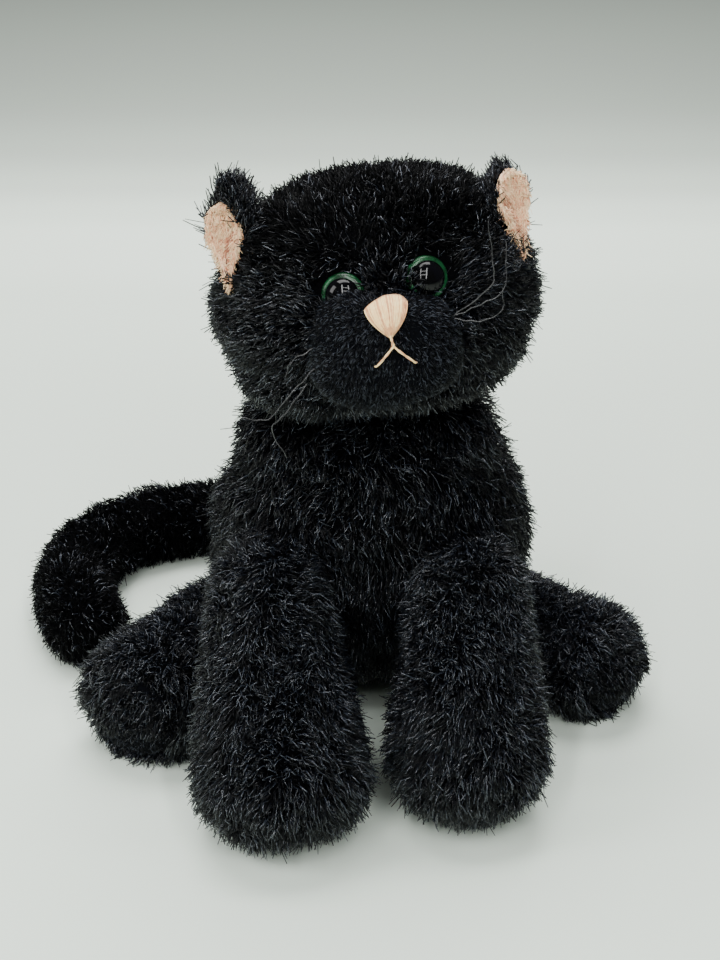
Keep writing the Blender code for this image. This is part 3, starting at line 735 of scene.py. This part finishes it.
def tube(points, radii, sides):
    """Corners and faces of a round thread or filament along a list of points."""
    corners = []
    side = None
    for i, point in enumerate(points):
        along = (points[min(i + 1, len(points) - 1)] - points[max(i - 1, 0)]).normalized()
        if side is None:
            side = along.orthogonal().normalized()
        side = (side - along * side.dot(along)).normalized()
        other = along.cross(side)
        for k in range(sides):
            angle = 2 * math.pi * k / sides
            corners.append(point + (side * math.cos(angle) + other * math.sin(angle)) * radii[i])
    return corners, grid_faces(len(points), sides, closed=True)


def joined_tubes(name, runs, body, materials, sides=8):
    """Many threads as one piece. A run is (points, radii, material number)."""
    corners, faces, shades = [], [], []
    for points, radii, shade in runs:
        more_corners, more_faces = tube(points, radii, sides)
        base = len(corners)
        corners += more_corners
        faces += [tuple(base + k for k in face) for face in more_faces]
        shades += [shade] * len(more_faces)
    mesh = mesh_of(name, corners, faces)
    mesh.polygons.foreach_set("material_index", np.array(shades, np.int32))
    return object_of(name, mesh, materials, body)


def thread_materials():
    """The pale thread, and the deeper one among it."""
    pale, peach = ((0.95, 0.60, 0.25), (1.0, 0.76, 0.38)), ((0.58, 0.26, 0.11), (0.84, 0.47, 0.22))
    return [
        mottled_material("satin_thread_pale", *pale, 900, 0.42, 0.3, 0.2),
        mottled_material("satin_thread_peach", *peach, 900, 0.42, 0.3, 0.2),
    ]


# The nose and mouth, in mm in the head's frame
NOSE_X, NOSE_TOP, NOSE_FOOT, NOSE_HALF_WIDTH = 0.9, 34.9, 27.0, 4.8
NOSE_CROWN = 1.5
NOSE_STITCHES, NOSE_STEPS = 27, 10
FOOT_STITCHES = 13  # shorter ones in the deeper thread over the nose's foot, so that it is darker there: painted shade
PEACH_SHARE = 0.35  # share of the long stitches that are in the deeper thread
THREAD_RADIUS, FOOT_THREAD_RADIUS = 0.20 * MM, 0.15 * MM
NOSE_PADDING = 0.5 * MM
MOUTH_STITCHES = {
    "mouth_stem_stitch": ((0.8, 27.8), (1.2, 24.6)),
    "mouth_left_stitch": ((1.0, 25.2), (5.6, 20.6)),
    "mouth_right_stitch": ((1.3, 25.2), (-3.1, 21.1)),
}
MOUTH_STEPS = 22
MOUTH_HEIGHT, MOUTH_DIVE = 1.5, 1.4  # mm that a stitch stands off the skin, and that its ends sink
PLY_OFFSET, PLY_RADIUS = 0.13, 0.19  # mm
PLY_TWIST = 9  # radians over one stitch


def nose_point(across, down, above):
    """A point on the nose: across from -1 to 1, down from 0 to 1. It is a shield that slopes to its right."""
    half = NOSE_HALF_WIDTH * (1 - 0.93 * down**1.7)
    if across < 0:
        fall = 1.5 * abs(across) ** 1.3 + 0.6 * abs(across) ** 6
    else:
        fall = 0.25 * across + 1.9 * across**5
    top = NOSE_TOP - fall
    crown = math.sqrt(max(0.0, 1 - across**2)) * math.sin(math.pi * (0.14 + 0.72 * down)) ** 0.6
    return muzzle_point(NOSE_X + half * across, top + (NOSE_FOOT - top) * down, above + NOSE_CROWN * crown)


def make_nose(materials):
    """Satin stitches side by side over a padded shield, drawn together at its foot."""
    rng = np.random.default_rng(51)
    runs = []
    along = [i / NOSE_STEPS for i in range(NOSE_STEPS + 1)]
    for k in range(NOSE_STITCHES):
        across = 0.985 * (2 * (k + 0.5) / NOSE_STITCHES - 1) + rng.normal() * 0.012
        end = rng.uniform(0.93, 1.0)
        points = [nose_point(across, end * t, 0.22 + rng.uniform(0, 0.12)) for t in along]
        radii = [THREAD_RADIUS * (1 - 0.35 * t) for t in along]
        runs.append((points, radii, int(rng.random() < PEACH_SHARE)))
    # Painted shade: shorter stitches in the deeper thread darken the nose towards its foot.
    for k in range(FOOT_STITCHES):
        across = 0.9 * (2 * (k + 0.5) / FOOT_STITCHES - 1)
        start = rng.uniform(0.42, 0.72)
        points = [nose_point(across, start + (0.98 - start) * t, 0.36) for t in along]
        swell = [math.sin(math.pi * (i + 0.6) / (NOSE_STEPS + 1.2)) for i in range(NOSE_STEPS + 1)]
        radii = [FOOT_THREAD_RADIUS * share for share in swell]
        runs.append((points, radii, 1))
    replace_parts(joined_tubes("nose_stitches", runs, "head", materials), "nose_pad")
    rows, columns = 11, 15
    pad = []
    for i in range(rows):
        for j in range(columns):
            pad.append(nose_point(0.95 * (2 * j / (columns - 1) - 1), i / (rows - 1), 0.0))
    mesh = mesh_of("nose_padding", pad, grid_faces(rows, columns, closed=False))
    piece = object_of("nose_padding", mesh, [materials[1]], "head")
    thick = piece.modifiers.new("thickness", "SOLIDIFY")
    thick.thickness = NOSE_PADDING
    thick.offset = 0


def make_mouth(materials):
    """One straight stitch down from the nose and one out to each side, each of two twisted strands."""
    for name, ((x0, z0), (x1, z1)) in MOUTH_STITCHES.items():
        runs = []
        for ply in range(2):
            points = []
            for i in range(MOUTH_STEPS + 1):
                t = i / MOUTH_STEPS
                angle = math.pi * ply + t * PLY_TWIST
                above = MOUTH_HEIGHT - MOUTH_DIVE * (1 - math.sin(math.pi * t) ** 0.25)
                x = x0 + (x1 - x0) * t + PLY_OFFSET * math.cos(angle)
                points.append(muzzle_point(x, z0 + (z1 - z0) * t, above + PLY_OFFSET * math.sin(angle)))
            runs.append((points, [PLY_RADIUS * MM] * len(points), ply))
        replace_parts(joined_tubes(f"{name}_thread", runs, "head", materials), name)


def crimped(points, steps, size, rng):
    """A smooth route through a few points, with the small waves of crimped filament."""
    extended = [points[0] * 2 - points[1], *points, points[-1] * 2 - points[-2]]
    route = []
    for i in range(1, len(extended) - 2):
        p0, p1, p2, p3 = extended[i - 1 : i + 3]
        for k in range(steps):
            t = k / steps
            curve = (p2 - p0) * t
            curve += (p0 * 2 - p1 * 5 + p2 * 4 - p3) * t**2
            curve += (p1 * 3 - p0 - p2 * 3 + p3) * t**3
            route.append(p1 + curve * 0.5)
    route.append(points[-1])
    phase = rng.uniform(0, 6)
    waved = []
    for i, point in enumerate(route):
        wave = Vector((math.sin(i * 1.1 + phase), math.cos(i * 0.9), math.sin(i * 1.3)))
        waved.append(point + wave * size)
    return waved


# Points along each whisker, in mm in the head's frame
WHISKERS = {
    "left_upper": [(15, -37, 28), (23.5, -38, 33.5), (24.6, -38, 38), (24.6, -38, 47.5)],
    "left_middle": [(15, -37, 28), (21, -38, 30), (26.4, -38, 32.7), (28, -37, 42.5)],
    "left_lower": [(15, -37, 27.5), (20.5, -38, 26.4), (25.4, -38, 28), (26, -38, 33)],
    "right_upper": [(-15.5, -37, 25.5), (-20.6, -38, 23.6), (-22.2, -38, 20.5)],
    "right_middle": [(-16, -37, 21), (-22, -38, 16.4), (-27.4, -38, 11.8), (-33, -38, 13)],
    "right_lower": [(-18, -37, 18), (-23.5, -38, 12.5), (-26.9, -38, 9.2), (-24.6, -38, 2.5)],
}
WHISKER_RADIUS, WHISKER_CRIMP = 0.13 * MM, 0.12 * MM
WHISKER_STEPS, WHISKER_SIDES = 9, 6  # steps between two of its points, and sides of its section


def make_whiskers():
    """Stiff crimped nylon filaments that stand out from the cheeks."""
    nylon = mottled_material("whisker_nylon", (0.010, 0.010, 0.011), (0.05, 0.05, 0.052), 700, 0.3, 0.05)
    rng = np.random.default_rng(61)
    for name, points in WHISKERS.items():
        route = crimped([in_head(*p) for p in points], WHISKER_STEPS, WHISKER_CRIMP, rng)
        radii = [WHISKER_RADIUS * (1 - 0.35 * i / len(route)) for i in range(len(route))]
        runs = [(route, radii, 0)]
        filament = joined_tubes(f"{name}_filament", runs, "head", [nylon], WHISKER_SIDES)
        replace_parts(filament, f"{name}_whisker")


# Ears ----------------------------------------------------------------------------------------------

EAR_ROOT, EAR_TIP = Vector((33.4, -17.2, 35.0)), Vector((33.0, -12.5, 53.5))
EAR_INWARD = {"left": 0.0, "right": 2.2}  # the right ear is sewn on nearer the middle
EAR_RAISE = {"left": 0.0, "right": 1.8}  # and higher
EAR_BARE = {"left": 3, "right": 2}  # twelfths of the lining, from its root, that the head's pile covers
EAR_HALF_WIDTH, EAR_TURN, EAR_CUP = 4.0, 30, 1.8  # mm, degrees outward, mm
EAR_WIDEST = 0.62  # how far up from its root, from 0 to 1
EAR_PILE = {"left": (2.8, 5.0), "right": (3.8, 7.2)}  # lengths in mm: the right ear is the tufty one
EAR_TAPER = {"left": 1.15, "right": 1.35}  # how sharply each narrows to its root
OUTER_MARGIN = 0.15  # share of the black back's margin that shows beside the outer edge
EAR_BACK_MARGIN = 1.4  # the black back is this much wider than the pink lining
EAR_BACK_RISE = {"left": -1.4, "right": 3.2}  # and its tip this much higher, before the pile
LINING_MARGIN = 1.7 * MM  # no black pile is rooted within this of the lining
EDGE_MARGIN, EDGE_SHARE = 2.4 * MM, 0.22  # and only this share of it this near the ear's outer edge
# width of the band of painted shade along the lining's crease
CREASE_WIDTH = 1.5 * MM
EAR_WELD = 2e-5  # m, which joins the points that all but meet at its tip


def ear_point(side, across, up, front, margin):
    """A point on a cupped ear. across is -1 at its inner edge and 1 at its outer one, and up is 0 at its root
    and 1 at its tip. front and margin are in mm.
    """
    sign = SIDES[side]
    if across > 0:
        margin *= OUTER_MARGIN
    half = (EAR_HALF_WIDTH + margin) * (0.04 + 0.96 * min(1.0, up / EAR_WIDEST) ** EAR_TAPER[side])
    if up > EAR_WIDEST:
        half *= math.sqrt(max(0.0, 1 - ((up - EAR_WIDEST) / (1 - EAR_WIDEST)) ** 2.4))
    cup = EAR_CUP * (1 - across**2) * (0.5 + 0.5 * math.sin(math.pi * up))
    rise = EAR_BACK_RISE[side] * margin / EAR_BACK_MARGIN
    middle = EAR_ROOT.lerp(EAR_TIP + Vector((0, 0, rise)), up)
    turn = Euler((0, 0, math.radians(sign * EAR_TURN))).to_matrix()
    middle = Vector(((middle.x - EAR_INWARD[side]) * sign, middle.y, middle.z + EAR_RAISE[side]))
    return in_head(*(middle + turn @ Vector((half * across * sign, cup - front, 0))))


def ear_leaf(name, side, near, far, margin, material):
    """A closed leaf between two depths in front of the ear's middle."""
    rows, columns = 22, 16
    corners = []
    for depth in (near, far):
        for i in range(rows + 1):
            for j in range(columns + 1):
                corners.append(ear_point(side, 2 * j / columns - 1, i / rows, depth, margin))
    faces = []
    layer = (rows + 1) * (columns + 1)
    for i in range(rows):
        for j in range(columns):
            a = i * (columns + 1) + j
            b = a + columns + 1
            faces.append((a, a + 1, b + 1, b))
            faces.append((layer + a, layer + b, layer + b + 1, layer + a + 1))
    rim = list(range(columns))
    rim += [columns + i * (columns + 1) for i in range(rows)]
    rim += [rows * (columns + 1) + j for j in range(columns, 0, -1)]
    rim += [i * (columns + 1) for i in range(rows, 0, -1)]
    for k, a in enumerate(rim):
        b = rim[(k + 1) % len(rim)]
        faces.append((a, layer + a, layer + b, b))
    mesh = mesh_of(name, corners, faces)
    face_outward(mesh, EAR_WELD)
    return object_of(name, mesh, [material], f"{side}_ear")


def nearest(points, others):
    """How far each point is from the nearest of the others."""
    batches = [points[k : k + BATCH, None] for k in range(0, len(points), BATCH)]
    return np.concatenate([np.linalg.norm(batch - others[None], axis=2).min(axis=1) for batch in batches])


def lining_spots(side):
    """Points over the front of one ear's lining."""
    grid = [(a / 3, u / 12) for a in range(-3, 4) for u in range(EAR_BARE[side], 13)]
    return np.array([ear_point(side, across * 0.9, up, 1.0, 0.0) for across, up in grid])


def make_ear(side, seed):
    """A cupped leaf of black plush with a narrower pink one in front of it."""
    body = f"{side}_ear"
    back = ear_leaf(f"{side}_ear_back_skin", side, -2.2, -0.2, EAR_BACK_MARGIN, SKIN)
    lining = ear_leaf(f"{side}_ear_lining_skin", side, 0.0, 1.0, 0.0, PINK_SKIN)
    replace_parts(back, f"{side}_ear_back")
    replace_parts(lining, f"{side}_ear_lining")
    root = np.array(in_head(EAR_ROOT.x * SIDES[side], EAR_ROOT.y + 4, EAR_ROOT.z))
    forward = np.array((HEAD_POSE @ Vector((SIDES[side] * 0.5, -0.86, 0))).normalized())
    spots = lining_spots(side)
    edge = np.array([ear_point(side, 1.0, up, 0.0, 0.0) for up in np.linspace(0.2, 0.95, 16)])
    crease = np.array(
        [ear_point(side, 0.45 - 0.9 * t, 0.25 + 0.4 * t, 1.0, 0.0) for t in np.linspace(0, 1, 8)]
    )

    def off_lining(points, normals):
        """Pile behind and over the lining, and little of it along the ear's outer edge."""
        keep = np.where((normals @ forward > 0.3) & (nearest(points, spots) < LINING_MARGIN), 0.0, 1.0)
        return keep * np.where(nearest(points, edge) < EDGE_MARGIN, EDGE_SHARE, 1.0)

    def outward(points, normals):
        return unit(points - root) + np.array([0, 0, 0.15])

    def front(points, normals):
        return np.where(normals @ forward > 0.1, 1.0, 0.0)

    def crease_painted_shade(points):
        """Painted shade: the chance of the deep peach nap in a soft band along a crease line across the
        lining.
        """
        return 0.75 * np.clip(1.3 - nearest(points, crease) / CREASE_WIDTH, 0, 1)

    grow(
        f"{side}_ear_fur", back, body, 6000, EAR_PILE[side], outward, seed,
        keep=off_lining, lift=0.7, comb_strength=0.9, droop=0.05, stray=0.35, clump=0.5, cell=2.6 * MM,
    )
    grow(
        f"{side}_ear_lining_nap", lining, body, 7000, (1.3, 2.6), towards(0, 0, -1), seed + 1,
        PINK_NAP, PINK_SHARES, radius=0.10 * MM, lift=0.5, comb_strength=0.8, stray=0.34, clump=0.5,
        droop=0, keep=front, painted_shade=crease_painted_shade,
    )


# Studio --------------------------------------------------------------------------------------------

VIEW_ELEVATION, VIEW_DISTANCE, VIEW_ANGLE = 27.0, 0.435, 30.0
VIEW_TARGET = Vector((-0.0018, -0.038, 0.070))
FLOOR_REACH = 4.0
WINDOW = Vector((0, -0.60, 0.66))  # middle of the window-shaped lamp
WINDOW_UP = Vector((0, 0.724, 0.690))  # square to the way that it shines
WINDOW_POWER = 3.6
CROSS_POWER = WINDOW_POWER * 0.25
BAR_OFFSET, BAR_SIZE = 0.21, (0.055, 0.72)  # its two upright bars, across from its middle
CROSS_OFFSET, CROSS_SIZE = 0.11, (0.36, 0.04)  # and its two crossbars, up from it
AIR_COLOUR, AIR_STRENGTH = (0.80, 0.83, 0.80, 1), 0.11
# How far behind the origin, and how light the paper is painted there: painted light, lighter near the camera,
# darker round the object, a painted band of light behind it and painted shade beyond
PAPER_PAINTED_LIGHT = [
    (-0.15, 0.87), (0.05, 0.80), (0.16, 0.81), (0.26, 0.86), (0.31, 0.93), (0.345, 0.95), (0.375, 0.88),
    (0.415, 0.74), (0.475, 0.60), (0.56, 0.53), (0.84, 0.62),
]
PAPER_NEAR, PAPER_FAR = PAPER_PAINTED_LIGHT[0][0], PAPER_PAINTED_LIGHT[-1][0]
# Name, place, what it points at, size and power
SOFTBOXES = [
    ("softbox_top", (-0.05, 0.14, 0.85), (0, 0, 0), (0.7, 0.4), 8.5),
    ("softbox_back", (0, 0.36, 0.38), (0, 0.36, 0), (0.5, 0.1), 1.5),
    ("softbox_left", (-0.75, -0.25, 0.55), (0, 0, 0.05), (0.35, 0.45), 4.0),
]


def make_camera():
    camera = bpy.data.cameras.new("camera")
    camera.sensor_fit = "VERTICAL"
    camera.sensor_height = 36
    camera.angle_y = math.radians(VIEW_ANGLE)
    eye = bpy.data.objects.new("camera", camera)
    bpy.context.scene.collection.objects.link(eye)
    angle = math.radians(VIEW_ELEVATION)
    back = Vector((0, -math.cos(angle), math.sin(angle)))
    eye.location = VIEW_TARGET + back * VIEW_DISTANCE
    eye.rotation_euler = (-back).to_track_quat("-Z", "Y").to_euler()
    bpy.context.scene.camera = eye


def paper_material():
    """Pale paper with painted light: a soft painted band of light behind the object, and painted shade beyond
    it.
    """
    made, tree, shader = new_material("studio_paper")
    place = tree.nodes.new("ShaderNodeNewGeometry")
    split = tree.nodes.new("ShaderNodeSeparateXYZ")
    depth = tree.nodes.new("ShaderNodeMapRange")
    depth.inputs["From Min"].default_value = PAPER_NEAR
    depth.inputs["From Max"].default_value = PAPER_FAR
    ramp = tree.nodes.new("ShaderNodeValToRGB")
    ramp.color_ramp.interpolation = "EASE"
    stops = ramp.color_ramp.elements
    for spot, shade in ((stops[0], PAPER_PAINTED_LIGHT[0][1]), (stops[1], PAPER_PAINTED_LIGHT[-1][1])):
        spot.color = paper_colour(shade)
    for far, shade in PAPER_PAINTED_LIGHT[1:-1]:
        stops.new((far - PAPER_NEAR) / (PAPER_FAR - PAPER_NEAR)).color = paper_colour(shade)
    grain = tree.nodes.new("ShaderNodeTexNoise")
    grain.inputs["Scale"].default_value = 60
    raised = tree.nodes.new("ShaderNodeBump")
    raised.inputs["Strength"].default_value = 0.02
    tree.links.new(place.outputs["Position"], split.inputs["Vector"])
    tree.links.new(split.outputs["Y"], depth.inputs["Value"])
    tree.links.new(depth.outputs["Result"], ramp.inputs["Fac"])
    tree.links.new(ramp.outputs["Color"], shader.inputs["Base Color"])
    tree.links.new(grain.outputs["Fac"], raised.inputs["Height"])
    tree.links.new(raised.outputs["Normal"], shader.inputs["Normal"])
    shader.inputs["Roughness"].default_value = 0.75
    return made


def paper_colour(shade):
    """Paper of this lightness, faintly green."""
    return (shade * 0.885, shade, shade * 0.88, 1)


def make_stage():
    """A pale floor. Its edge is far above the object in every view, and out of the camera's sight."""
    far = FLOOR_REACH
    corners = [(-far, -far, 0), (far, -far, 0), (far, far, 0), (-far, far, 0)]
    mesh = mesh_of("studio_floor", corners, [(0, 1, 2, 3)])
    floor = bpy.data.objects.new("studio_floor", mesh)
    bpy.context.scene.collection.objects.link(floor)
    mesh.materials.append(paper_material())


def area_light(name, place, target, size, power):
    """A rectangular lamp that faces its target."""
    lamp = bpy.data.lights.new(name, "AREA")
    lamp.shape = "RECTANGLE"
    lamp.size, lamp.size_y = size
    lamp.energy = power
    light = bpy.data.objects.new(name, lamp)
    bpy.context.scene.collection.objects.link(light)
    light.location = place
    light.rotation_euler = (Vector(target) - Vector(place)).to_track_quat("-Z", "Y").to_euler()


def make_lights():
    """A window-shaped lamp above the camera, and soft lamps overhead, behind and to the left."""
    aim = VIEW_TARGET
    for sign in (-1, 1):
        across = Vector((sign * BAR_OFFSET, 0, 0))
        area_light(f"window_bar_{sign + 2}", WINDOW + across, aim + across, BAR_SIZE, WINDOW_POWER)
        rise = WINDOW_UP * sign * CROSS_OFFSET
        area_light(f"window_cross_{sign + 2}", WINDOW + rise, aim + rise, CROSS_SIZE, CROSS_POWER)
    for softbox in SOFTBOXES:
        area_light(*softbox)
    world = bpy.data.worlds.new("studio_air")
    world.use_nodes = True
    air = world.node_tree.nodes["Background"]
    air.inputs["Color"].default_value = AIR_COLOUR
    air.inputs["Strength"].default_value = AIR_STRENGTH
    bpy.context.scene.world = world


make_camera()
make_stage()
make_lights()
make_torso()
for number, name in enumerate(SIDES):
    make_front_leg(name, 12 + number)
    make_hind_leg(name, 15 + 3 * number)
make_tail(22)
make_neck()
make_head()
make_muzzle()
make_eyes()
THREADS = thread_materials()
make_nose(THREADS)
make_mouth(THREADS)
make_whiskers()
for number, name in enumerate(SIDES):
    make_ear(name, 41 + 3 * number)
